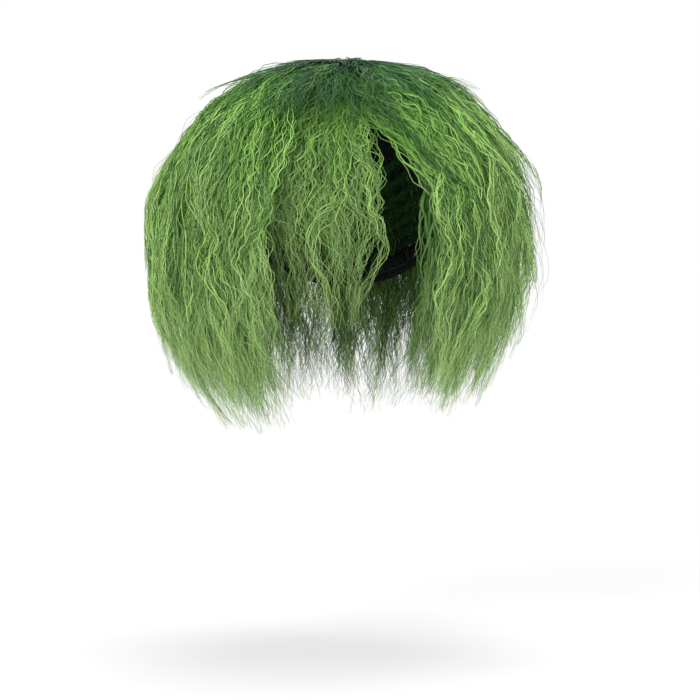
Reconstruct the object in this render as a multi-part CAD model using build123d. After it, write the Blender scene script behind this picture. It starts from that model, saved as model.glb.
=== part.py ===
from build123d import *
from math import asin, atan2, cos, degrees, pi, radians, sin, sqrt
import os

# A shaggy costume wig: a machine-sewn cap of net, elastic ribs and bands, circled by sewn rows
# of hair (wefts), with ear tabs at the temples and two hook-and-loop-row adjusters at the nape.
#
# Row frame, in millimetres: +Z up, the wearer faces -Y, so the wearer's right side is -X.
# The origin is the crown seat, the inside top of the cap, where it bears on the top of a head.
# "Rise" is the distance above the cap's slanting edge, measured square to the plane of that edge.

# ---- driving dimensions -------------------------------------------------------------------
HEAD_HALF_WIDTH = 76.0
HEAD_HALF_DEPTH = 98.0
HEAD_HALF_HEIGHT = 100.0
EDGE_TILT = 35.0  # the cap's edge drops this steeply from the forehead to the nape
EDGE_LEVEL = 7.5  # the edge's plane passes this far above the middle of the head

NET_THICK = 0.6
LAYER_GAP = 0.2  # air between one sewn layer and the next
BAND_THICK = 0.8
BAND_HEIGHT = 18.0
BAND_END_GAP = 1.0
RIB_WIDTH = 10.0
RIB_ANGLES = {"left_side": -28.0, "left_back": 28.0, "centre_back": 90.0,
              "right_back": 152.0, "right_side": 208.0}
PATCH_RISE = 74.0  # the crown patch covers the cap above this rise

TRACK_COUNT = 9
TRACK_THICK = 1.4
TRACK_HEIGHT = 3.0
FIRST_TRACK_RISE = 4.0
TRACK_SPACING = 8.2

TAB_THICK = 1.8
TAB_TOP_FRONT = -52.0
TAB_TOP_BACK = -18.0
TAB_FOOT_FRONT = -46.0
TAB_FOOT_BACK = -25.0
TAB_FOOT_Z = -114.0
TAB_CORNER = 8.0
TAB_EDGE_GAP = 0.6
STAY_WIDTH = 4.0
STAY_THICK = 0.5
STAY_FIT = 0.1

HOOK_BEARING = 27.0  # angle round the edge plane from the centre back to each hook
LOOP_PITCH = 7.5
LOOP_COUNT = 4
LOOP_BAR = 1.2
LOOP_BAR_THICK = 0.5
LOOP_HEIGHT = 8.4
LOOP_LEG = 0.7
LOOP_ROOM = 1.5  # height inside each loop
TAPE_STANDOFF = 2.6
TAPE_THICK = 0.6
TAPE_LENGTH = 30.0
TAPE_WIDTH = 10.0
HOOK_WIDTH = 5.0
HOOK_THICK = 0.8
HOOK_CLEAR = 0.3
TONGUE_REACH = 3.0
EYE_LENGTH = 3.0
EYE_RIM = 1.4
EYE_WIDTH = 8.0
STRAP_WIDTH = 7.0
STRAP_THICK = 0.7
STRAP_STANDOFF = 2.6
STRAP_BEARINGS = (50.0, 60.0, 70.0, 80.0)

HAIR_CLEAR = 4.4  # the hair sections start this far outside the head form
SECTION_GAP = 0.6  # parting between two hair sections
SLICES = 4  # levels each section is drawn through, less one
HAIR_HALF_WIDTH = 138.0
HAIR_DEPTH_SHARE = 0.95  # hair depth over hair width
HAIR_TOP = 13.0
HAIR_WIDEST_Z = -124.0
SKIRT_DRAW = 0.0038  # how fast the skirt draws in below its widest level, per millimetre
NECK_TAPER = 0.1
NAPE_TAPER = 0.0017
WHORL_Z = -8.0  # the whorl on top ends at this level
WHORL_INNER = 44.0
WHORL_INNER_TOP = 5.0
WHORL_OUTER = 66.0
WHORL_DEPTH_SHARE = 1.1
CROWN_Z = -42.0  # the crown sections end at this level
MIDDLE_Z = -136.0  # the upper sections end at this level
FACE_ANGLE = 36.0  # half the angle of the face opening
FRINGE_THICK = 11.0
FRINGE_EDGE = 5.0  # the fringe ends this far past the middle of the face
FRINGE_FOOT = -206.0

# ---- the head form and the plane of the cap's edge ----------------------------------------
# Cap pieces are first made on a ball, with its axis square to the cap's edge, where each is a
# simple turned ring. One stretch then turns the ball into the head form.
FAR = 400.0  # longer than anything here, for cutting tools
BALL = 100.0
STRETCH = (HEAD_HALF_WIDTH / BALL, HEAD_HALF_DEPTH / BALL, HEAD_HALF_HEIGHT / BALL)
HEAD_CENTRE = Vector(0, 0, -HEAD_HALF_HEIGHT)
CAP_AXIS = Vector(0, sin(radians(EDGE_TILT)), cos(radians(EDGE_TILT)))
NAPEWARD = Vector(0, cos(radians(EDGE_TILT)), -sin(radians(EDGE_TILT)))
BALL_AXIS = Vector(0, CAP_AXIS.Y * STRETCH[1], CAP_AXIS.Z * STRETCH[2])
BALL_TILT = degrees(atan2(BALL_AXIS.Y, BALL_AXIS.Z))


def on_head(shape):
    """Carry a piece from the ball to the head form."""
    return Pos(*HEAD_CENTRE) * scale(shape, by=STRETCH)


def on_cap(shape):
    """The same for a piece made round the cap's own axis."""
    return on_head(Rot(-BALL_TILT, 0, 0) * shape)


def ball_level(rise):
    """Height of that rise on the ball, along the cap's axis."""
    return (EDGE_LEVEL + rise) / BALL_AXIS.length


def turned_layer(low, high, inner, outer, start=0.0, arc=360.0):
    """The part of a ball's skin between two rises and two heights off the ball. With no high,
    it closes over the top. Angles run from the wearer's left to the nape."""
    def edge(skin):
        radius = BALL + skin
        tilts = [asin(ball_level(low) / radius), asin(ball_level(high) / radius) if high else pi / 2]
        tilts.insert(1, sum(tilts) / 2)
        return ThreePointArc(*((radius * cos(t), radius * sin(t)) for t in tilts))
    inside, outside = edge(inner), edge(outer)
    feet, tops = Line(inside @ 0, outside @ 0), Line(inside @ 1, outside @ 1)
    profile = Plane.XZ * make_face([inside, feet, outside, tops])
    return Rot(0, 0, start) * revolve(profile, Axis.Z, revolution_arc=arc)


def wall_point(bearing, rise, offset=0.0):
    """A point of the head form at that rise; bearing 0 is the centre back, +90 the wearer's left."""
    level = ball_level(rise)
    reach = sqrt((BALL + offset) ** 2 - level ** 2)
    around = Vector(reach * sin(radians(bearing)), reach * cos(radians(bearing)), level)
    turned = around.rotate(Axis.X, -BALL_TILT)
    return HEAD_CENTRE + Vector(*(t * s for t, s in zip(turned, STRETCH)))


def wall_normal(point):
    """The outward normal of the head form at a point on it."""
    away = point - HEAD_CENTRE
    return Vector(*(a / s ** 2 for a, s in zip(away, STRETCH))).normalized()


def mirrored(shape):
    """The wearer's right-hand twin of a left-hand piece."""
    return mirror(shape, about=Plane.YZ)


# ---- the cap ------------------------------------------------------------------------------
BAND_BASE = NET_THICK + LAYER_GAP
TRACK_BASE = BAND_BASE + BAND_THICK + LAYER_GAP
BAND_END_ANGLE = 1.0


def cap_net():
    return on_cap(turned_layer(0, None, 0, NET_THICK))


def edge_band(front):
    """Half of the cap's edge: the forehead band, or the nape band behind the ears."""
    start = 180.0 if front else 0.0
    return on_cap(turned_layer(0, BAND_HEIGHT, BAND_BASE, BAND_BASE + BAND_THICK,
                               start + BAND_END_ANGLE, 180.0 - 2 * BAND_END_ANGLE))


def rib(angle):
    """An elastic ribbon running up the cap, at that angle from the wearer's left to the nape."""
    skin = turned_layer(BAND_HEIGHT + BAND_END_GAP, PATCH_RISE - BAND_END_GAP,
                        BAND_BASE, BAND_BASE + BAND_THICK, angle - 20, 40)
    strip = Rot(0, 0, angle) * Pos(FAR / 2, 0, 0) * Box(FAR, RIB_WIDTH, FAR)
    return on_cap(skin & strip)


def crown_patch():
    return on_cap(turned_layer(PATCH_RISE, None, BAND_BASE, BAND_BASE + BAND_THICK))


def weft_track(number):
    """The sewn header of one row of hair, a closed ring round the cap."""
    low = FIRST_TRACK_RISE + number * TRACK_SPACING
    return on_cap(turned_layer(low, low + TRACK_HEIGHT, TRACK_BASE, TRACK_BASE + TRACK_THICK))


# ---- the ear tabs -------------------------------------------------------------------------
def ball_spot(y, z):
    """A point of the head's side view, carried to the ball."""
    return y / STRETCH[1], (z - HEAD_CENTRE.Z) / STRETCH[2]


def edge_z(y):
    """Height of the cap's edge plane at that depth."""
    return HEAD_CENTRE.Z + (EDGE_LEVEL - CAP_AXIS.Y * y) / CAP_AXIS.Z


def side_layer(outline, inner, outer):
    """A patch of the head's left side with that outline, between two heights off the head."""
    skin = Sphere(BALL + outer) - Sphere(BALL + inner)
    return on_head(skin & extrude(Plane.YZ * outline, FAR))


def tab_outline():
    drop = TAB_EDGE_GAP / CAP_AXIS.Z
    corners = [(TAB_TOP_FRONT, edge_z(TAB_TOP_FRONT) - drop), (TAB_TOP_BACK, edge_z(TAB_TOP_BACK) - drop),
               (TAB_FOOT_BACK, TAB_FOOT_Z), (TAB_FOOT_FRONT, TAB_FOOT_Z)]
    outline = make_face(Polyline(*(ball_spot(*corner) for corner in corners), close=True))
    return fillet(outline.vertices().sort_by(Axis.Y)[:2], TAB_CORNER)


def stay_outline(spare):
    """The stay's upright strip, grown by spare on each side for its channel."""
    middle = (TAB_FOOT_BACK + TAB_FOOT_FRONT) / 2
    low = TAB_FOOT_Z + TAB_CORNER
    high = edge_z(middle) - STAY_WIDTH
    strip = RectangleRounded(STAY_WIDTH + 2 * spare, high - low + 2 * spare, STAY_WIDTH / 2 - 0.2)
    return Pos(*ball_spot(middle, (low + high) / 2)) * strip


def left_ear_tab():
    body = side_layer(tab_outline(), BAND_BASE, BAND_BASE + TAB_THICK)
    floor = BAND_BASE + TAB_THICK - STAY_THICK - 2 * STAY_FIT
    channel = side_layer(stay_outline(STAY_FIT), floor, BAND_BASE + TAB_THICK + 1)
    return body - channel


def left_tab_stay():
    foot = BAND_BASE + TAB_THICK - STAY_THICK - STAY_FIT
    return side_layer(stay_outline(0), foot, foot + STAY_THICK)


# ---- the nape adjusters, wearer's left ----------------------------------------------------
HOOK_AT = wall_point(HOOK_BEARING, BAND_HEIGHT / 2)
HOOK_INWARD = wall_normal(HOOK_AT) * -1
TOWARDS_BACK = CAP_AXIS.cross(HOOK_INWARD).normalized() * -1
# x towards the centre back, z in towards the head, y up or down along the band
HOOK_PLANE = Plane(HOOK_AT, x_dir=TOWARDS_BACK, z_dir=HOOK_INWARD)
LOOP_XS = [(i - (LOOP_COUNT - 1) / 2) * LOOP_PITCH for i in range(LOOP_COUNT)]
ROOM_LOW = TAPE_STANDOFF + TAPE_THICK
BAR_LOW = ROOM_LOW + LOOP_ROOM
BAR_HIGH = BAR_LOW + LOOP_BAR_THICK
HELD_LOOP_X = LOOP_XS[1]
PLATE_LOW = BAR_HIGH + HOOK_CLEAR
TONGUE_LOW = BAR_LOW - HOOK_CLEAR - HOOK_THICK
BEND_X = HELD_LOOP_X + LOOP_BAR / 2 + HOOK_CLEAR
EYE_X = LOOP_XS[0] - 4.5  # the end of the eye nearer to the loops


def between(x, y, z):
    """A box from pairs of limits in the hook's own frame."""
    middle = tuple(sum(pair) / 2 for pair in (x, y, z))
    return Pos(*middle) * Box(*(high - low for low, high in (x, y, z)))


def left_loop_tape():
    """A flat tape with a row of four raised loops to choose a head size by."""
    half = TAPE_WIDTH / 2
    shape = between((-TAPE_LENGTH / 2, TAPE_LENGTH / 2), (-half, half), (TAPE_STANDOFF, ROOM_LOW))
    for x in LOOP_XS:
        across = (x - LOOP_BAR / 2, x + LOOP_BAR / 2)
        outer = LOOP_HEIGHT / 2
        shape += between(across, (-outer, outer), (BAR_LOW, BAR_HIGH))
        for side in (-1, 1):
            ends = sorted((side * outer, side * (outer - LOOP_LEG)))
            shape += between(across, ends, (ROOM_LOW, BAR_HIGH))
    return HOOK_PLANE * shape


def left_hook():
    """A flat moulded hook: plate over the loops, tongue back under one of them, eye for the strap."""
    half = HOOK_WIDTH / 2
    plate_high = PLATE_LOW + HOOK_THICK
    side = (-half, half)
    shape = between((EYE_X, BEND_X + HOOK_THICK), side, (PLATE_LOW, plate_high))
    shape += between((BEND_X, BEND_X + HOOK_THICK), side, (TONGUE_LOW, plate_high))
    tip = BEND_X - HOOK_CLEAR - TONGUE_REACH
    shape += between((tip, BEND_X + HOOK_THICK), side, (TONGUE_LOW, TONGUE_LOW + HOOK_THICK))
    outer = EYE_WIDTH / 2 + EYE_RIM
    frame = between((EYE_X - EYE_LENGTH - EYE_RIM, EYE_X + EYE_RIM), (-outer, outer), (PLATE_LOW, plate_high))
    inner = EYE_WIDTH / 2
    frame -= between((EYE_X - EYE_LENGTH, EYE_X), (-inner, inner), (PLATE_LOW - 1, plate_high + 1))
    return HOOK_PLANE * (shape + frame)


def left_adjuster_strap():
    """Flat elastic, folded round the eye's outer bar and sewn to the nape band behind the ear."""
    bar = EYE_X - EYE_LENGTH
    half = STRAP_WIDTH / 2
    gap = HOOK_CLEAR
    inner_x = (bar - EYE_RIM - gap, bar + gap)
    inner_z = (PLATE_LOW - gap, PLATE_LOW + HOOK_THICK + gap)
    outer_x = (inner_x[0] - STRAP_THICK, inner_x[1] + STRAP_THICK)
    outer_z = (inner_z[0] - STRAP_THICK, inner_z[1] + STRAP_THICK)
    fold = between(outer_x, (-half, half), outer_z) - between(inner_x, (-FAR, FAR), inner_z)
    start = HOOK_PLANE.from_local_coords(
        Vector(outer_x[0] + STRAP_THICK / 2, 0, outer_z[0] + STRAP_THICK / 2))
    points = [wall_point(bearing, BAND_HEIGHT / 2, -STRAP_STANDOFF) for bearing in STRAP_BEARINGS]
    leave = (points[0] - start).normalized()
    along = Spline(start, *points, tangents=[leave, (points[-1] - points[-2]).normalized()])
    profile = Plane(start, x_dir=HOOK_PLANE.y_dir, z_dir=leave) * Rectangle(STRAP_WIDTH, STRAP_THICK)
    return HOOK_PLANE * fold + sweep(profile, path=along)


# ---- the hair sections --------------------------------------------------------------------
# Angles run round the head's upright axis, from the face, 0, to the wearer's left, 90.
def inner_reach(z):
    """Half width and half depth of the room inside the hair: the covered cap, then the neck."""
    half = HEAD_HALF_WIDTH + HAIR_CLEAR
    share = (HEAD_HALF_DEPTH + HAIR_CLEAR) / half
    if z > -HEAD_HALF_HEIGHT:
        half *= sqrt(1 - ((z + HEAD_HALF_HEIGHT) / (HEAD_HALF_HEIGHT + HAIR_CLEAR)) ** 2)
        return half, half * share
    half -= NECK_TAPER * (-HEAD_HALF_HEIGHT - z)
    return half, half * (share - NAPE_TAPER * max(0, MIDDLE_Z - z))


def outer_reach(z):
    """Half width and half depth of the whole head of hair: a dome over a skirt drawn in to tips."""
    half = HAIR_HALF_WIDTH
    if z > HAIR_WIDEST_Z:
        half *= sqrt(1 - ((z - HAIR_WIDEST_Z) / (HAIR_TOP - HAIR_WIDEST_Z)) ** 2)
    else:
        half -= SKIRT_DRAW * (HAIR_WIDEST_Z - z) ** 2
    return half, half * HAIR_DEPTH_SHARE


def fringe_reach(z):
    return tuple(reach + FRINGE_THICK for reach in inner_reach(z))


def around(reach, angles, z):
    """Points on an upright ellipse at those angles, at one level."""
    half_width, half_depth = reach
    points = []
    for angle in (radians(a) for a in angles):
        radius = 1 / sqrt((sin(angle) / half_width) ** 2 + (cos(angle) / half_depth) ** 2)
        points.append((radius * sin(angle), -radius * cos(angle), z))
    return points


def hair_slice(start, end, z, outer):
    """One level of a section, between the room inside and the outside of the hair."""
    edges = []
    for reach in (inner_reach(z), outer(z)):
        trim = degrees(SECTION_GAP / 2 / min(reach))
        first, last = start + trim, end - trim
        edges.append(Spline(*around(reach, [first + (last - first) * i / 4 for i in range(5)], z)))
    inside, outside = edges
    return make_face([inside, Line(inside @ 1, outside @ 1), outside, Line(outside @ 0, inside @ 0)])


def hair_section(start, end, low, high, outer=outer_reach):
    """An upright block of hair between two angles and two levels."""
    low, high = low + SECTION_GAP / 2, high - SECTION_GAP / 2
    levels = [low + (high - low) * i / SLICES for i in range(SLICES + 1)]
    return loft([hair_slice(start, end, z, outer) for z in levels])


def crown_whorl():
    """The swirl on top, where the hair parts in every direction: a shallow bowl turned over."""
    foot = WHORL_Z + SECTION_GAP / 2

    def arc(radius, top):
        rise = top - foot
        bend = (radius ** 2 + rise ** 2) / (2 * rise)
        return Spline((radius, foot), (radius / 2, top - bend + sqrt(bend ** 2 - radius ** 2 / 4)),
                      (0, top))
    inside, outside = arc(WHORL_INNER, WHORL_INNER_TOP), arc(WHORL_OUTER, HAIR_TOP)
    profile = make_face([inside, Line(inside @ 0, outside @ 0), outside, Line(inside @ 1, outside @ 1)])
    return scale(revolve(Plane.XZ * profile, Axis.Z), by=(1, WHORL_DEPTH_SHARE, 1))


# ---- every node ---------------------------------------------------------------------------
SIDE_EDGE, BACK_EDGE = 82.0, 130.0
CROWN_SECTIONS = {"crown_front": (-45, 45), "crown_left": (45, 135), "crown_back": (135, 225),
                  "crown_right": (225, 315)}
SIDE_SECTIONS = {  # start and end angle, and the level of the tips
    "left_front": (FACE_ANGLE, SIDE_EDGE, -232.0), "left_side": (SIDE_EDGE, BACK_EDGE, -226.0),
    "back_left": (BACK_EDGE, 180, -240.0), "back_right": (180, 360 - BACK_EDGE, -240.0),
    "right_side": (360 - BACK_EDGE, 360 - SIDE_EDGE, -236.0),
    "right_front": (360 - SIDE_EDGE, 360 - FACE_ANGLE, -248.0)}


def all_nodes():
    nodes = {"cap_net": cap_net(), "front_band": edge_band(True), "nape_band": edge_band(False),
             "crown_patch": crown_patch()}
    for name, angle in RIB_ANGLES.items():
        nodes[f"{name}_rib"] = rib(angle)
    for number in range(TRACK_COUNT):
        nodes[f"weft_track_{number + 1}"] = weft_track(number)
    left_pieces = {"ear_tab": left_ear_tab(), "tab_stay": left_tab_stay(), "loop_tape": left_loop_tape(),
                   "hook": left_hook(), "adjuster_strap": left_adjuster_strap()}
    for name, piece in left_pieces.items():
        nodes[f"left_{name}"] = piece
        nodes[f"right_{name}"] = mirrored(piece)
    nodes["crown_whorl_hair"] = crown_whorl()
    for name, (start, end) in CROWN_SECTIONS.items():
        nodes[f"{name}_hair"] = hair_section(start, end, CROWN_Z, WHORL_Z)
    for name, (start, end, tips) in SIDE_SECTIONS.items():
        nodes[f"{name}_upper_hair"] = hair_section(start, end, MIDDLE_Z, CROWN_Z)
        nodes[f"{name}_lower_hair"] = hair_section(start, end, tips, MIDDLE_Z)
    nodes["fringe_hair"] = hair_section(-FACE_ANGLE, FRINGE_EDGE, FRINGE_FOOT, CROWN_Z, fringe_reach)
    return nodes


os.makedirs("parts", exist_ok=True)
for node, shape in all_nodes().items():
    export_step(shape, f"parts/{node}.step")
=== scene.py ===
import math

import bpy
import numpy as np
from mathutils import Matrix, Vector


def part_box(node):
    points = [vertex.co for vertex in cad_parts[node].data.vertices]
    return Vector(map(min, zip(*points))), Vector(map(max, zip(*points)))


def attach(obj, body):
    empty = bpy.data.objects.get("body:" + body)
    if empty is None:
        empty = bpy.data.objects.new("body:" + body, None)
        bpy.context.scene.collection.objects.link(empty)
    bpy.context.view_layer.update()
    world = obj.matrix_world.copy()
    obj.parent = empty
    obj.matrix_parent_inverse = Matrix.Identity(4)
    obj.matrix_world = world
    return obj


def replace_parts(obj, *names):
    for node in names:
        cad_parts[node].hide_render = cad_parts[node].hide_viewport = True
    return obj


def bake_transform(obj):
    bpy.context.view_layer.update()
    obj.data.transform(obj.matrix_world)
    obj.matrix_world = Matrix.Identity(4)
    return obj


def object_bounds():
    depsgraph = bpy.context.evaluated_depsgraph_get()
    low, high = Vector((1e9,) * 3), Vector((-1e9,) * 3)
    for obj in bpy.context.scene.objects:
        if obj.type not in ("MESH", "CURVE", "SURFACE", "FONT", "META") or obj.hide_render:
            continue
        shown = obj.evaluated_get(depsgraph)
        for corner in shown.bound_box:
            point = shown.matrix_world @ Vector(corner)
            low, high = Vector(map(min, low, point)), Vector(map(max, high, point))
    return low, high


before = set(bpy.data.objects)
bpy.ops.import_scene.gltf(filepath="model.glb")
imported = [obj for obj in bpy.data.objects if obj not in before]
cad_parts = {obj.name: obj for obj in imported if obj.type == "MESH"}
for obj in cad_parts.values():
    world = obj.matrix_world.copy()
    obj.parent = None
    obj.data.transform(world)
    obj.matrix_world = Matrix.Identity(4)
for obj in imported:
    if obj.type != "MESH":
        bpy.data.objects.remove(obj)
CAD_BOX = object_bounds()
MM = 0.001

# A shaggy crimped wig. Hair is made as closed, tapered strands that leave their sewn rows on the
# cap, lift to their layer, run over the dome and fall to pointed, clumped tips.
# Angles run round the head's upright axis, in degrees, from the face, 0, to the wearer's left, 90.
# A run is a length down the outside of the hair, from the top of the head.

# ---- places, from the frame ---------------------------------------------------------------
CAD_LOW, CAD_HIGH = (np.array(corner) for corner in CAD_BOX)
HAIR_HALF_WIDTH, HAIR_HALF_DEPTH, HAIR_TOP = CAD_HIGH
WIDEST_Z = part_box("left_side_upper_hair")[0][2] + 12 * MM
DOME_RUN = 0.5 * math.pi * (HAIR_TOP - WIDEST_Z)  # from the top to the widest level
SKIRT_SLOPE = 0.96  # metres down for each metre of run, below the widest level
SKIRT_DRAW = 3.8  # metres drawn in for each square metre below the widest level

HEAD_CENTRE_Z = -100 * MM
NET_OVER_HEAD = 1.006  # the net's outside, for a head of 1
NET_HIGH = np.array(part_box("cap_net")[1])
HEAD = np.array([NET_HIGH[0] / NET_OVER_HEAD, NET_HIGH[1] / NET_OVER_HEAD, -HEAD_CENTRE_Z])
INNER_STAND = 4 * MM  # the innermost hair, off the head
INNER_SLOPE = 1.13
INNER_SIDE_DRAW = 0.1  # metres drawn in for each metre of run, towards the neck
INNER_NAPE_DRAW = 0.26

BALL = 0.1  # radius of the ball that the head is a stretched copy of
EDGE_TILT = math.radians(35.0)
EDGE_LEVEL = 7.5 * MM
CAP_AXIS = np.array([0.0, math.sin(EDGE_TILT), math.cos(EDGE_TILT)])
ROWS = 9
ROW_PITCH = 8.2 * MM
FIRST_ROW = 4 * MM

SIDES = ("left", "right")
SECTORS = {"left_front": (36, 82), "left_side": (82, 130), "back_left": (130, 180),
           "back_right": (180, 230), "right_side": (230, 278), "right_front": (278, 324)}
SECTOR_LAP = 4  # neighbouring sectors share this many degrees
FOOT_Z = {name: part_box(f"{name}_lower_hair")[0][2] for name in SECTORS}


# ---- material writing ---------------------------------------------------------------------
class Wire:
    """A value in a material. Sums on it add Math nodes."""

    def __init__(self, paint, socket):
        self.paint, self.socket = paint, socket

    def _math(self, operation, *values):
        return self.paint.node("ShaderNodeMath", {"operation": operation}, list(values))

    def __add__(self, other):
        return self._math("ADD", self, other)

    def __sub__(self, other):
        return self._math("SUBTRACT", self, other)

    def __rsub__(self, other):
        return self._math("SUBTRACT", other, self)

    def __mul__(self, other):
        return self._math("MULTIPLY", self, other)

    def __truediv__(self, other):
        return self._math("DIVIDE", self, other)

    __radd__ = __add__
    __rmul__ = __mul__

    def sin(self):
        return self._math("SINE", self)

    def clamp(self):
        return self.paint.node("ShaderNodeClamp", {}, [self])


class Paint:
    """One material, with a node for each call of node()."""

    def __init__(self, name):
        self.material = bpy.data.materials.new(name)
        self.material.use_nodes = True
        self.tree = self.material.node_tree
        self.tree.nodes.clear()
        self.out = self.tree.nodes.new("ShaderNodeOutputMaterial")

    def node(self, kind, settings, inputs, output=0):
        made = self.tree.nodes.new(kind)
        for key, value in settings.items():
            if key == "stops":
                ramp = made.color_ramp
                while len(ramp.elements) < len(value):
                    ramp.elements.new(0.5)
                for element, (place, colour) in zip(ramp.elements, value):
                    element.position, element.color = place, (*colour, 1.0)
            else:
                setattr(made, key, value)
        pairs = inputs.items() if isinstance(inputs, dict) else enumerate(inputs)
        for key, value in pairs:
            if isinstance(value, Wire):
                self.tree.links.new(value.socket, made.inputs[key])
            else:
                made.inputs[key].default_value = value
        return Wire(self, made.outputs[output])

    def show(self, shader):
        self.tree.links.new(shader.socket, self.out.inputs[0])
        return self.material

    def ramp(self, value, stops):
        return self.node("ShaderNodeValToRGB", {"stops": stops}, [value])

    def mix(self, amount, first, second):
        ends = [(*c, 1.0) if isinstance(c, tuple) else c for c in (first, second)]
        sockets = {0: amount, 6: ends[0], 7: ends[1]}  # factor and the two colours
        return self.node("ShaderNodeMix", {"data_type": "RGBA"}, sockets, 2)

    def place(self):
        return self.node("ShaderNodeTexCoord", {}, {}, "Object")

    def noise(self, size, detail=2.0):
        sockets = {"Vector": self.place(), "Scale": 1 / size, "Detail": detail}
        return self.node("ShaderNodeTexNoise", {}, sockets)

    def axes(self, vector):
        made = self.node("ShaderNodeSeparateXYZ", {}, [vector])
        return [Wire(self, socket) for socket in made.socket.node.outputs]

    def along(self, direction):
        return self.node("ShaderNodeVectorMath", {"operation": "DOT_PRODUCT"},
                         [self.place(), tuple(direction)], "Value")

    def ridges(self, value, pitch):
        """From 0 to 1 and back for each pitch."""
        return (value * (2 * math.pi / pitch)).sin() * 0.5 + 0.5

    def bump(self, height, depth):
        return self.node("ShaderNodeBump", {}, {"Strength": 1.0, "Distance": depth, "Height": height})

    def surface(self, colour, roughness, specular, **rest):
        colour = (*colour, 1.0) if isinstance(colour, tuple) else colour
        inputs = {"Base Color": colour, "Roughness": roughness, "Specular IOR Level": specular}
        inputs.update({key.replace("_", " "): value for key, value in rest.items()})
        return self.node("ShaderNodeBsdfPrincipled", {}, inputs)

    def finish(self, colour, roughness, specular, **rest):
        return self.show(self.surface(colour, roughness, specular, **rest))


def shade_of(colour, share):
    return tuple(min(1, share * part) for part in colour)


def fibre_finish():
    """Strand colour: dark at the root, lime at the tip, and each strand paler or deeper."""
    paint = Paint("crimped_green_fibre")
    spot = paint.node("ShaderNodeUVMap", {"uv_map": "OFBake"}, {})
    tone, run, _ = paint.axes(spot)
    deep = paint.ramp(run, [(0.0, (0.004, 0.006, 0.004)), (0.12, (0.001, 0.026, 0.008)),
                            (0.34, (0.004, 0.07, 0.012)), (1.0, (0.03, 0.12, 0.018))])
    pale = paint.ramp(run, [(0.0, (0.004, 0.03, 0.008)), (0.10, (0.008, 0.2, 0.035)),
                            (0.36, (0.32, 0.64, 0.11)), (1.0, (0.62, 0.88, 0.32))])
    return paint.finish(paint.mix(tone, deep, pale), 0.42, 0.35)


def ribbed_finish(name, colour, pitch, direction):
    """Woven elastic: ribs across the run, with a fine thread noise, and painted shade where the ribs and
    threads dip.
    """
    paint = Paint(name)
    ribs = paint.ridges(paint.along(direction), pitch)
    fuzz = paint.noise(0.9 * MM)
    # painted shade: the colour goes to a darker copy wherever the bump is low
    shade = paint.mix(ribs * 0.6 + fuzz * 0.4, shade_of(colour, 0.45), colour)
    return paint.finish(shade, 0.85, 0.25, Normal=paint.bump(ribs + fuzz * 0.5, 0.25 * MM))


def woven_finish(name, colour, pitch):
    """Plain woven tape: threads crossing, with painted shade between them, and worn a little paler in
    patches.
    """
    paint = Paint(name)
    x, y, z = paint.axes(paint.place())
    weave = paint.ridges(x + y, pitch) * paint.ridges(z, pitch)
    wear = paint.noise(14 * MM, 4.0)
    # painted shade where the weave dips between threads, plus real wear in paler patches
    shade = paint.mix(weave * 0.6 + wear * 0.35, shade_of(colour, 0.4), colour)
    return paint.finish(shade, 0.9, 0.2, Normal=paint.bump(weave, 0.3 * MM))


def moulded_finish(name, colour, roughness):
    """Moulded plastic, faintly rippled, with painted light and shade: paler on the ripples, darker between
    them.
    """
    paint = Paint(name)
    ripple = paint.noise(2.5 * MM, 3.0)
    # painted light and shade: lit and shaded copies of the colour, following the ripple bump
    shade = paint.mix(ripple, shade_of(colour, 0.8), shade_of(colour, 1.15))
    dull = paint.noise(6 * MM) * 0.15 + roughness
    return paint.finish(shade, dull, 0.5, Normal=paint.bump(ripple, 0.04 * MM))


def thread_finish(name, dark, pale, twist, roughness, specular):
    """Fine thread with a painted sheen: paler and darker in patches about a twist long."""
    paint = Paint(name)
    return paint.finish(paint.mix(paint.noise(twist), dark, pale), roughness, specular)


# ---- strands ------------------------------------------------------------------------------
TONES = 64  # columns of the finish, each a little paler than the one before
STRAND_SIDES = 3
RADIUS_OVER_WIDTH = 0.55  # for a three-sided strand


def unit(vectors):
    return vectors / np.maximum(np.linalg.norm(vectors, axis=-1, keepdims=True), 1e-12)


def put(name, data, material):
    piece = bpy.data.objects.new(name, data)
    bpy.context.scene.collection.objects.link(piece)
    data.materials.append(material)
    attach(piece, "cap")
    return piece


def strand_spots(paths, radii):
    """Where the corners of the strands lie: (strand, point, side, xyz)."""
    heading = unit(np.gradient(paths, axis=1))
    beside = unit(np.stack([-paths[..., 1], paths[..., 0], 0 * paths[..., 0]], -1) + 1e-6)
    first = unit(np.cross(heading, beside))
    second = np.cross(heading, first)
    turns = 2 * np.pi * np.arange(STRAND_SIDES) / STRAND_SIDES
    ring = np.cos(turns)[:, None] * first[..., None, :] + np.sin(turns)[:, None] * second[..., None, :]
    return paths[..., None, :] + ring * radii[..., None, None]


def strand_faces(count, points):
    """Corners of the four-sided faces along the strands, and of the faces that close their ends."""
    base = (np.arange(count) * points * STRAND_SIDES)[:, None, None]
    row = (np.arange(points - 1) * STRAND_SIDES)[None, :, None]
    side = np.arange(STRAND_SIDES)[None, None, :]
    after = (side + 1) % STRAND_SIDES
    near, far = base + row, base + row + STRAND_SIDES
    quads = np.stack([near + side, near + after, far + after, far + side], -1).reshape(-1, 4)
    foot = base[:, 0, :] + np.arange(STRAND_SIDES)[::-1]
    tip = base[:, 0, :] + (points - 1) * STRAND_SIDES + np.arange(STRAND_SIDES)
    return quads, np.concatenate([foot, tip], 1).reshape(-1, STRAND_SIDES)


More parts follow.
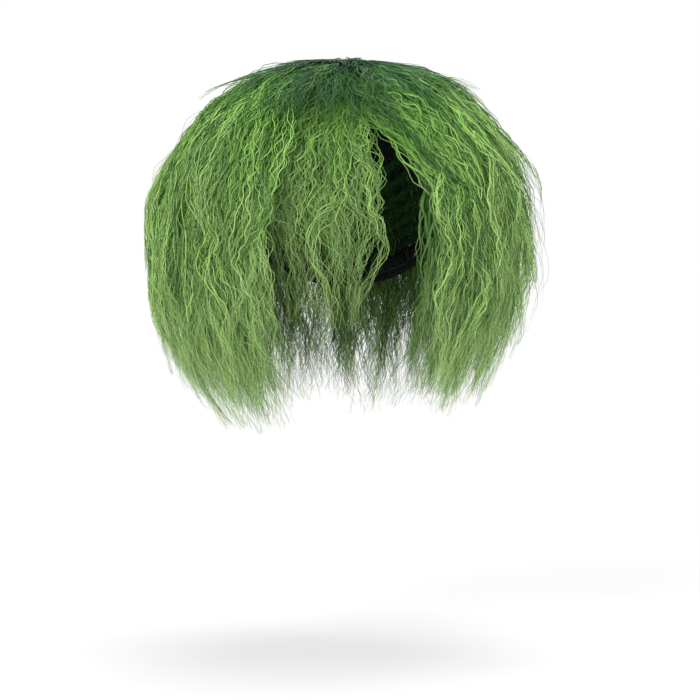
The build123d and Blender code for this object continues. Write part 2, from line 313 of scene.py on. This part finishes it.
def strand_colours(count, points, tones, tip_shade):
    """Where each face corner looks up its colour: tone across, place along the strand up."""
    column = np.floor(np.clip(tones, 0, 0.999) * TONES)
    left, right = (column + 0.2) / TONES, (column + 0.8) / TONES
    run = (0.01 + 0.98 * np.arange(points) / (points - 1)) * tip_shade
    shape = (count, points - 1, STRAND_SIDES, 4)
    us = np.broadcast_to(np.stack([left, right, right, left], -1)[:, None, None, :], shape)
    vs = np.broadcast_to(np.stack([run[:-1], run[:-1], run[1:], run[1:]], -1)[None, :, None, :], shape)
    end_us = np.stack([left, right, right, left, right, left], -1)
    end_vs = np.broadcast_to([0.005, 0.005, 0.01, 0.99, 0.99, 0.995], (count, 6)) * tip_shade
    return np.stack([np.concatenate([us.reshape(-1), end_us.reshape(-1)]),
                     np.concatenate([vs.reshape(-1), end_vs.reshape(-1)])], -1)


def strand_mesh(name, paths, radii, tones, tip_shade=1.0):
    """Closed strands along paths (strand, point, xyz), with radii (strand, point)."""
    count, points, _ = paths.shape
    quads, ends = strand_faces(count, points)
    corners = np.concatenate([quads.reshape(-1), ends.reshape(-1)])
    sizes = np.concatenate([np.full(len(quads), 4), np.full(len(ends), STRAND_SIDES)])
    starts = np.concatenate([[0], np.cumsum(sizes)[:-1]])
    colours = strand_colours(count, points, tones, tip_shade)
    data = bpy.data.meshes.new(name)
    data.vertices.add(count * points * STRAND_SIDES)
    data.vertices.foreach_set("co", strand_spots(paths, radii).astype(np.float32).reshape(-1))
    data.loops.add(len(corners))
    data.loops.foreach_set("vertex_index", corners.astype(np.int32))
    data.polygons.add(len(sizes))
    data.polygons.foreach_set("loop_start", starts.astype(np.int32))
    data.polygons.foreach_set("use_smooth", np.ones(len(sizes), bool))
    data.uv_layers.new(name="OFBake").data.foreach_set("uv", colours.astype(np.float32).reshape(-1))
    data.update(calc_edges=True)
    return data


def smooth_step(value, start, end):
    share = np.clip((value - start) / (end - start), 0, 1)
    return share * share * (3 - 2 * share)


def upright_ellipse(angle, half_width, half_depth):
    """x and y at that angle on an ellipse round the head."""
    radius = 1 / np.sqrt((np.sin(angle) / half_width) ** 2 + (np.cos(angle) / half_depth) ** 2)
    return radius * np.sin(angle), -radius * np.cos(angle)


def place_in_hair(angle, run, layer):
    """A point in the hair: angle in radians, run from the top down over the outside in metres,
    and layer from 0, against the cap, to 1, the outside."""
    least = 0.1 * MM
    tilt = np.clip(run / (HAIR_TOP - WIDEST_Z), 0, np.pi / 2)
    below = np.maximum(run - DOME_RUN, 0)
    out_z = WIDEST_Z + (HAIR_TOP - WIDEST_Z) * np.cos(tilt) - below * SKIRT_SLOPE
    drawn = SKIRT_DRAW * np.maximum(WIDEST_Z - out_z, 0) ** 2
    out_width = np.maximum((HAIR_HALF_WIDTH - drawn) * np.sin(tilt), least)
    out_depth = out_width * HAIR_HALF_DEPTH / HAIR_HALF_WIDTH
    in_z = HEAD_CENTRE_Z + (HEAD[2] + INNER_STAND) * np.cos(tilt) - below * INNER_SLOPE
    in_width = np.maximum((HEAD[0] + INNER_STAND - INNER_SIDE_DRAW * below) * np.sin(tilt), least)
    in_depth = np.maximum((HEAD[1] + INNER_STAND - INNER_NAPE_DRAW * below) * np.sin(tilt), least)
    out_x, out_y = upright_ellipse(angle, out_width, out_depth)
    in_x, in_y = upright_ellipse(angle, in_width, in_depth)
    return np.stack([in_x + (out_x - in_x) * layer, in_y + (out_y - in_y) * layer,
                     in_z + (out_z - in_z) * layer], -1)


def foot_run(angle):
    """How far down the outside the longest tips reach at that angle, in degrees."""
    middles = [(start + end) / 2 for start, end in SECTORS.values()]
    feet = [FOOT_Z[name] for name in SECTORS]
    level = np.interp(np.mod(angle, 360), middles, feet)
    return DOME_RUN + (WIDEST_Z - level) / SKIRT_SLOPE


class Locks:
    """A family of locks, each a bundle of strands that share a root, a route and a crimp."""

    RAGGED = 26 * MM  # a strand ends up to this much before its lock does
    RISE = 70 * MM  # a lock reaches its layer in this run
    SWEEP = 120 * MM  # and has turned aside in this one
    WAVES = (19 * MM, 9.5 * MM, 34 * MM)  # of a lock's sway, each over 2 pi
    WAVE_SHARES = (1.0, 0.4, 0.9)
    LIFTS = (15 * MM, 27 * MM)
    LIFT = 0.05  # of the hair's thickness
    SWAY_RADIUS = 112 * MM
    STRAY = 3.2 * MM
    LOOSE_TIP = 5 * MM

    def __init__(self, seed, locks, strands):
        self.draw = np.random.default_rng(seed)
        self.locks, self.strands = locks, strands

    def uniform(self, low, high):
        return self.draw.uniform(low, high, self.locks)

    def per_lock(self, values):
        return np.broadcast_to(np.asarray(values, float), self.locks)[:, None, None]

    def per_strand(self, low, high):
        return self.draw.uniform(low, high, (self.locks, self.strands))[:, :, None]

    def scatter(self, width):
        return self.draw.normal(0, width, (self.locks, self.strands))[:, :, None]

    def tones(self, low, high):
        """Strands are mostly pale or deep, and a lock leans a little one way."""
        lock = self.draw.beta(1.2, 1.2, (self.locks, 1))
        strand = self.draw.beta(0.4, 0.42, (self.locks, self.strands))
        return low + (high - low) * (lock * 0.22 + strand * 0.78)

    def grow(self, angle, root, tip, root_layer, layer, points, sweep=0.0, sweep_from=25 * MM,
             spread=3.4 * MM, crimp=1.6 * MM, wander=5.0 * MM, width=0.6 * MM, tone=(0.0, 1.0),
             taper=0.75, flare=0.0):
        """Angles in degrees, runs in metres, one value for each lock or one for all.
        Returns paths, radii and tones."""
        per_lock, per_strand = self.per_lock, self.per_strand
        root, layer_gain = per_lock(root), per_lock(layer) - per_lock(root_layer)
        share = np.linspace(0, 1, points)[None, None, :]
        end = per_lock(tip) - per_strand(0, 1) ** 2 * self.RAGGED
        run = root + (end - root) * share
        gone = run - root
        height = per_lock(root_layer) + layer_gain * smooth_step(gone, 0, self.RISE)
        aside = smooth_step(gone, sweep_from, sweep_from + self.SWEEP)
        turn = np.radians(per_lock(angle) + per_lock(sweep) * aside)

        # the route of the lock, which sways to the sides and in and out
        phases = [per_lock(self.uniform(0, 6.28)) for _ in range(8)]
        waves = sum(part * np.sin(gone / wave + phase)
                    for part, wave, phase in zip(self.WAVE_SHARES, self.WAVES, phases))
        sway = waves * wander * smooth_step(gone, 0, 90 * MM)
        lift = sum(np.sin(gone / wave + phase) for wave, phase in zip(self.LIFTS, phases[3:])) * self.LIFT
        centre = place_in_hair(turn + sway / self.SWAY_RADIUS, run,
                               height + lift * smooth_step(gone, 0, 60 * MM))
        outward = unit(centre * [1, 1, 0.35] + [0, 0, 0.1 * MM])
        down = unit(np.gradient(centre, axis=2))
        sideways = unit(np.cross(down, outward))

        # strands lie loosely in the lock and draw together at the tip
        pinch = 1 - 0.72 * smooth_step(share, 0.55, 1.0)
        room = spread * pinch * (0.25 + 0.75 * smooth_step(gone, 0, 50 * MM))
        off_side, off_out = self.scatter(1) * room, self.scatter(0.55) * room
        pitch = per_strand(2.1 * MM, 3.9 * MM)
        own = per_strand(-2.0, 2.0)
        strength = crimp * per_strand(0.5, 1.35) * smooth_step(gone, 8 * MM, 45 * MM)
        kink_side = np.sin(gone / pitch + phases[5] + own) * strength
        kink_out = np.sin(gone / (pitch * 1.21) + phases[6] + own * 2) * strength * 0.7
        stray = np.sin(gone / per_strand(8 * MM, 15 * MM) + per_strand(0, 6.28)) * per_strand(0.3, 1)
        stray = stray * self.STRAY * smooth_step(gone, 5 * MM, 60 * MM) * (0.4 + 0.6 * pinch)
        loose = per_strand(-1, 1) * self.LOOSE_TIP * share ** 2 + stray
        stand_off = flare * per_lock(self.uniform(0, 1)) * share ** 3
        paths = (centre + sideways * (off_side + kink_side + loose)[..., None]
                 + outward * (off_out + kink_out + stray * 0.6 + stand_off)[..., None])
        thin = 1 - taper * smooth_step(share, 0.6, 1.0)
        radii = width * RADIUS_OVER_WIDTH * per_strand(0.65, 1.25) * thin
        radii = np.broadcast_to(radii, paths.shape[:3])
        return paths.reshape(-1, points, 3), radii.reshape(-1, points), self.tones(*tone).reshape(-1)


def keep_in(paths, spare=7.0 * MM):
    """Strands that pass the object's box are drawn in softly, and never pass it by more than spare."""
    over, under = np.maximum(paths - CAD_HIGH, 0), np.maximum(CAD_LOW - paths, 0)
    inside = paths - over + under
    return inside + spare * (1 - np.exp(-over / spare)) - spare * (1 - np.exp(-under / spare))


# ---- the hair -----------------------------------------------------------------------------
FIBRE = fibre_finish()
POINT_STEP = 4.9 * MM


def points_for(length):
    return int(length / POINT_STEP)


def hair_piece(name, grown, tip_shade=1.0):
    paths, radii, tones = grown
    return put(name, strand_mesh(name, keep_in(paths), radii, tones, tip_shade), FIBRE)


def fullness(angle):
    """The outermost layer at that angle: the wearer's left side lies a little flatter."""
    return 0.93 - 0.1 * np.sin(np.radians(angle))


def cover(name, seed, start, end, locks, sweeps=None, sweep_from=25 * MM, late=0.0):
    """The outer hair of a sector, from the whorl to the tips."""
    family = Locks(seed, locks, 16)
    angle = family.uniform(start, end)
    tip = foot_run(angle) - family.draw.beta(0.8, 1.7, locks) * 120 * MM
    sweep = sweeps(angle) if sweeps else family.uniform(-9, 9)
    layer = family.uniform(0.6, 1.0) * fullness(angle)
    root = family.uniform(2 * MM, 34 * MM) + late
    grown = family.grow(angle, root, tip, 0.5, layer, points_for(320 * MM), sweep=sweep,
                        sweep_from=sweep_from, flare=14 * MM)
    return hair_piece(name, grown)


def sewn_layer(name, seed, start, end, locks, top, bottom, layers, tone=(0.0, 0.8), flare=0.0):
    """Hair that leaves the sewn rows of a sector, between two runs down the cap."""
    family = Locks(seed, locks, 16)
    angle = family.uniform(start, end)
    root = family.uniform(top, bottom)
    tip = foot_run(angle) - family.draw.beta(0.8, 1.6, locks) * 95 * MM
    points = points_for(foot_run(angle).mean() - (top + bottom) / 2)
    grown = family.grow(angle, root, tip, 0.05, family.uniform(*layers) * fullness(angle), points,
                        tone=tone, sweep=family.uniform(-8, 8), flare=flare)
    return hair_piece(name, grown)


def painted_shade_underlay(name, seed, start, end, locks, top, bottom):
    """Thick bundles against the cap in only the deepest tones, painted shade that closes the hair from
    behind.
    """
    family = Locks(seed, locks, 2)
    angle = family.uniform(start, end)
    root = family.uniform(top, bottom)
    tip = foot_run(angle) - family.uniform(50 * MM, 150 * MM)
    # painted shade: tones held to 0 to 0.3, so gaps between locks show dark
    grown = family.grow(angle, root, tip, 0.12, family.uniform(0.1, 0.45), points_for(200 * MM),
                        spread=2.5 * MM, width=3.4 * MM, tone=(0.0, 0.3), taper=0.97)
    return hair_piece(name, grown)


def make_hair():
    for number, (name, (start, end)) in enumerate(SECTORS.items()):
        start, end = start - SECTOR_LAP * (start > 90), end + SECTOR_LAP * (end < 270)
        # Painted shade inside the hair: lower layers take deeper tones, the middle 0 to 0.8, the inner 0
        # to 0.5 and the thick bundles beneath 0 to 0.3, against the outer's 0.05 to 1.
        pieces = [
            cover(f"{name}_cover", 10 + number, start, end, 30),
            sewn_layer(f"{name}_outer", 20 + number, start, end, 24, 45 * MM, 110 * MM, (0.55, 1.0),
                       tone=(0.05, 1.0), flare=18 * MM),
            sewn_layer(f"{name}_middle", 30 + number, start, end, 26, 70 * MM, 150 * MM, (0.25, 0.75)),
            sewn_layer(f"{name}_inner", 50 + number, start, end, 16, 140 * MM, 185 * MM, (0.05, 0.35),
                       tone=(0.0, 0.5)),
            painted_shade_underlay(f"{name}_underlay", 60 + number, start, end, 80, 20 * MM, 120 * MM)]
        for piece in pieces:
            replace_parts(piece, f"{name}_upper_hair", f"{name}_lower_hair")


def sweep_off_face(angle):
    """Hair from the front of the crown goes to the wearer's left of the face."""
    edge = 42
    return np.where(angle < edge, edge + (angle - 4) * 0.4 - angle, 0)


def make_crown_front():
    pieces = [cover("crown_swept_left", 71, 2, 40, 26, sweeps=sweep_off_face, sweep_from=40 * MM,
                    late=24 * MM),
              cover("crown_swept_right", 72, -66, -30, 24, late=14 * MM)]
    family = Locks(73, 26, 16)
    angle, root = family.uniform(-52, -24), family.uniform(15 * MM, 60 * MM)
    tip = family.uniform(250 * MM, 345 * MM)
    grown = family.grow(angle, root, tip, 0.3, family.uniform(0.15, 0.75), points_for(270 * MM),
                        sweep=family.uniform(-14, 0))
    pieces.append(hair_piece("right_temple_fill", grown))
    family = Locks(74, 12, 10)
    angle, root = family.uniform(4, 34), family.uniform(30 * MM, 75 * MM)
    tip = family.uniform(170 * MM, 290 * MM)
    grown = family.grow(angle, root, tip, 0.3, family.uniform(0.1, 0.5), points_for(190 * MM),
                        sweep=family.uniform(18, 30), sweep_from=30 * MM)
    pieces.append(hair_piece("forehead_wisps", grown))
    for piece in pieces:
        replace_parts(piece, "crown_front_hair")


def make_crown_tops():
    quarters = {"left": (45, 135), "back": (135, 225), "right": (225, 315)}
    for number, (name, (start, end)) in enumerate(quarters.items()):
        family = Locks(80 + number, 30, 16)
        angle, root = family.uniform(start, end), family.uniform(1 * MM, 60 * MM)
        tip = family.uniform(150 * MM, 250 * MM)
        grown = family.grow(angle, root, tip, 0.5, family.uniform(0.8, 1.1), points_for(180 * MM),
                            sweep=family.uniform(-12, 12), flare=6 * MM)
        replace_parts(hair_piece(f"crown_{name}_top", grown), f"crown_{name}_hair")


def root_tuft(name, seed, bundles, angles, roots, tips, root_layer, layers, length, tip_shade, **habit):
    """Short dark hair: bundles are the numbers of locks and of strands in each."""
    family = Locks(seed, *bundles)
    angle, root, tip = family.uniform(*angles), family.uniform(*roots), family.uniform(*tips)
    grown = family.grow(angle, root, tip, root_layer, family.uniform(*layers), points_for(length), **habit)
    return hair_piece(name, grown, tip_shade)


def make_roots():
    roots = root_tuft("whorl_roots", 90, (90, 12), (0, 360), (0, 26 * MM), (55 * MM, 120 * MM), 0.4,
                      (0.7, 1.5), 80 * MM, 0.3, tone=(0.0, 0.7))
    middle = root_tuft("whorl_middle", 92, (30, 10), (0, 360), (0, 9 * MM), (40 * MM, 70 * MM), 0.8,
                       (1.0, 1.6), 60 * MM, 0.2, tone=(0.0, 0.4), spread=6 * MM)
    parting = root_tuft("parting_roots", 91, (46, 12), (-48, 52), (20 * MM, 52 * MM), (90 * MM, 135 * MM),
                        0.5, (0.9, 1.2), 80 * MM, 0.26, tone=(0.0, 0.6))
    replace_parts(roots, "crown_whorl_hair")
    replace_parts(middle, "crown_whorl_hair")
    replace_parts(parting, "crown_front_hair")


def make_fringe():
    """Sheer hair over the wearer's right half of the face, from the front of the cap."""
    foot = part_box("fringe_hair")[0][2] + 12 * MM
    reach = DOME_RUN + (WIDEST_Z - foot) / SKIRT_SLOPE
    family = Locks(101, 40, 9)
    angle = family.uniform(-38, 4)
    tip = reach - family.draw.beta(1.1, 1.5, family.locks) * 90 * MM
    root = family.uniform(34 * MM, 66 * MM)
    grown = family.grow(angle, root, tip, 0.3, family.uniform(0.05, 0.3), points_for(250 * MM),
                        spread=5 * MM, sweep=family.uniform(-5, 7), wander=4 * MM, width=0.46 * MM,
                        crimp=2 * MM, tone=(0.05, 1.0))
    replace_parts(hair_piece("fringe_strands", grown), "fringe_hair")
    family = Locks(102, 9, 12)
    angle, root = family.uniform(-12, 7), family.uniform(20 * MM, 50 * MM)
    tip = reach - family.uniform(0, 70 * MM)
    grown = family.grow(angle, root, tip, 0.3, family.uniform(0.2, 0.4), points_for(250 * MM),
                        spread=2.4 * MM, sweep=family.uniform(-2, 8), wander=6.5 * MM, tone=(0.2, 1.0))
    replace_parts(hair_piece("fringe_locks", grown), "fringe_hair")


def make_flyaways():
    """Thin dark wisps that stand off the outline, and none over the face."""
    family = Locks(111, 170, 2)
    face_half, clear = 36, 60
    angle = family.uniform(0, 360)
    over_face = np.abs((angle + 180) % 360 - 180) < face_half
    angle = np.where(over_face, angle + clear, angle)
    root = family.uniform(20 * MM, 190 * MM)
    tip = root + family.uniform(60 * MM, 120 * MM)
    grown = family.grow(angle, root, tip, 0.7, family.uniform(1.0, 1.12), points_for(110 * MM),
                        spread=6 * MM, width=0.22 * MM, tone=(0.0, 0.3), wander=9 * MM)
    hair_piece("flyaway_wisps", grown)


make_hair()
make_crown_front()
make_crown_tops()
make_roots()
make_fringe()
make_flyaways()


# ---- the cap ------------------------------------------------------------------------------
def on_cap(turn, rise, off):
    """A point at that turn round the cap's axis (radians from the wearer's left towards the nape),
    rise over the cap's edge in metres, and height off the ball that is stretched into the head."""
    stretch = HEAD / BALL
    ball_axis = CAP_AXIS * stretch
    length = np.linalg.norm(ball_axis)
    tilt = math.atan2(ball_axis[1], ball_axis[2])
    level = (EDGE_LEVEL + rise) / length
    reach = np.sqrt(np.maximum((BALL + off) ** 2 - level ** 2, 0))
    x, y = reach * np.cos(turn), reach * np.sin(turn)
    z = level + 0 * x
    y, z = y * math.cos(tilt) + z * math.sin(tilt), z * math.cos(tilt) - y * math.sin(tilt)
    return np.stack([x, y, z], -1) * stretch + [0, 0, HEAD_CENTRE_Z]


def make_net():
    """Two families of threads that cross, as in a knotted net."""
    threads, points = 130, 44
    top, lean_at_top = 88 * MM, 1.1
    rise = np.linspace(0.2 * MM, top, points)[None, :]
    turns = 2 * np.pi * np.arange(threads)[:, None] / threads
    lean = rise / top * lean_at_top
    paths = np.concatenate([on_cap(turns + way * lean, rise, 0.35 * MM) for way in (1, -1)])
    radii = np.full(paths.shape[:2], 0.17 * MM)
    data = strand_mesh("net_threads", paths, radii, np.full(len(paths), 0.3))
    dark, pale = (0.008, 0.012, 0.008), (0.04, 0.055, 0.04)
    thread = thread_finish("black_net_thread", dark, pale, 0.8 * MM, 0.7, 0.3)
    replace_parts(put("net_threads", data, thread), "cap_net")


def make_weft_stitches():
    """A zigzag of thread over each sewn row."""
    thread = thread_finish("sewing_thread", (0.01, 0.06, 0.02), (0.04, 0.22, 0.06), 0.7 * MM, 0.6, 0.4)
    stitch, half_height, mean_radius = 0.9 * MM, 1.15 * MM, 90 * MM
    for number in range(ROWS):
        low = FIRST_ROW + ROW_PITCH * number
        girth = 2 * math.pi * mean_radius * math.cos(math.asin(min(0.98, (low + EDGE_LEVEL) / BALL)))
        points = int(girth / stitch)
        turn = np.linspace(0, 2 * np.pi, points)[None, :]
        side = np.where(np.arange(points) % 2, 1, -1)[None, :]
        path = on_cap(turn, low + 1.5 * MM + half_height * side, 3.3 * MM)
        name = f"weft_stitch_{number + 1}"
        data = strand_mesh(name, path, np.full(path.shape[:2], 0.2 * MM), np.array([0.3]))
        put(name, data, thread)


def refinish(names, material):
    for name in names:
        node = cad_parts[name]
        if not node.material_slots:
            node.data.materials.append(material)
        for slot in node.material_slots:
            slot.material = material


def make_cap_finishes():
    black = (0.03, 0.035, 0.03)
    kinds = ("ear_tab", "loop_tape", "tab_stay", "hook")
    both = {kind: [f"{side}_{kind}" for side in SIDES] for kind in kinds}
    refinish([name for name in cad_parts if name.endswith("_rib")],
             ribbed_finish("rib_elastic", black, 1.3 * MM, CAP_AXIS))
    refinish(["front_band", "nape_band"], woven_finish("edge_band_tape", black, 0.9 * MM))
    refinish(["crown_patch"], woven_finish("patch_cloth", (0.02, 0.04, 0.025), 0.8 * MM))
    refinish([f"weft_track_{number + 1}" for number in range(ROWS)],
             ribbed_finish("weft_fibre", (0.02, 0.12, 0.03), 0.8 * MM, (0.7, 0.7, 0.0)))
    refinish(both["ear_tab"], woven_finish("ear_tab_cloth", black, 0.9 * MM))
    refinish(both["loop_tape"], ribbed_finish("loop_tape_weave", black, 0.9 * MM, CAP_AXIS))
    refinish(both["tab_stay"], moulded_finish("stay_strip", (0.6, 0.6, 0.56), 0.4))
    refinish(both["hook"], moulded_finish("hook_moulding", (0.02, 0.02, 0.02), 0.25))


def make_straps():
    """Each real strap stretches with its hook; here a copy of it, in place, takes the elastic finish and
    is set free of the cap.
    """
    elastic = ribbed_finish("strap_elastic", (0.03, 0.035, 0.03), 1.0 * MM, CAP_AXIS)
    for side in SIDES:
        strap = f"{side}_adjuster_strap"
        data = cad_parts[strap].data.copy()
        data.materials.clear()
        piece = put(f"{side}_elastic_strap", data, elastic)
        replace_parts(piece, strap)
        piece.parent = None
        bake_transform(piece)


make_net()
make_weft_stitches()
make_cap_finishes()
make_straps()


# ---- stage, light and camera --------------------------------------------------------------
FLOOR_Z = -412 * MM
FLOOR_HALF = 6.0
AIM = (3.6 * MM, 0, -196 * MM)
EYE_Z = -130 * MM
CAMERA_DISTANCE = 1.7
VIEW_WIDTH = 504 * MM


def floor_finish():
    """Pale floor that keeps a soft shadow under the wig and fades into the white room."""
    paint = Paint("pale_floor")
    reach = paint.node("ShaderNodeVectorMath", {"operation": "LENGTH"}, [paint.place()], "Value")
    fade_from, fade_width = 0.55, 0.35
    fade = ((reach - fade_from) / fade_width).clamp()
    seen = paint.node("ShaderNodeLightPath", {}, {}, "Is Camera Ray")
    floor = paint.surface((0.8, 0.8, 0.8), 0.9, 0.1)
    white = paint.node("ShaderNodeEmission", {}, {"Color": (1, 1, 1, 1), "Strength": 1.0})
    return paint.show(paint.node("ShaderNodeMixShader", {}, {0: fade * seen, 1: floor, 2: white}))


def make_floor():
    data = bpy.data.meshes.new("floor")
    corners = [(x * FLOOR_HALF, y * FLOOR_HALF, FLOOR_Z) for x, y in ((-1, -1), (1, -1), (1, 1), (-1, 1))]
    data.from_pydata(corners, [], [(0, 1, 2, 3)])
    data.materials.append(floor_finish())
    floor = bpy.data.objects.new("floor", data)
    bpy.context.scene.collection.objects.link(floor)


def make_room():
    """A plain level of light on the object, and white where the camera looks past it."""
    bpy.context.scene.view_settings.view_transform = "Standard"
    world = bpy.data.worlds.new("studio")
    bpy.context.scene.world = world
    world.use_nodes = True
    nodes, links = world.node_tree.nodes, world.node_tree.links
    nodes.clear()
    mixed = nodes.new("ShaderNodeMixShader")
    for socket, strength in ((1, 0.55), (2, 1.0)):
        light = nodes.new("ShaderNodeBackground")
        light.inputs[0].default_value, light.inputs[1].default_value = (1, 1, 1, 1), strength
        links.new(light.outputs[0], mixed.inputs[socket])
    links.new(nodes.new("ShaderNodeLightPath").outputs["Is Camera Ray"], mixed.inputs[0])
    links.new(mixed.outputs[0], nodes.new("ShaderNodeOutputWorld").inputs[0])


def soft_lamp(name, place, size, power):
    light = bpy.data.lights.new(name, "AREA")
    light.shape, light.size, light.energy = "SQUARE", size, power
    lamp = bpy.data.objects.new(name, light)
    bpy.context.scene.collection.objects.link(lamp)
    lamp.location = place
    towards = Vector((0, 0, -0.12)) - Vector(place)
    lamp.rotation_euler = towards.to_track_quat("-Z", "Y").to_euler()


def make_camera():
    data = bpy.data.cameras.new("camera")
    camera = bpy.data.objects.new("camera", data)
    bpy.context.scene.collection.objects.link(camera)
    data.lens = data.sensor_width * CAMERA_DISTANCE / VIEW_WIDTH
    camera.location = (AIM[0], -CAMERA_DISTANCE, EYE_Z)
    camera.rotation_euler = (Vector(AIM) - camera.location).to_track_quat("-Z", "Y").to_euler()
    bpy.context.scene.camera = camera


make_floor()
make_room()
soft_lamp("key", (-0.9, -1.5, 0.9), 1.0, 26)
soft_lamp("fill", (1.3, -1.2, 0.3), 1.2, 12)
soft_lamp("top", (0.1, 0.2, 1.5), 1.2, 14)
soft_lamp("back", (0.5, 1.5, 0.7), 1.0, 10)
make_camera()
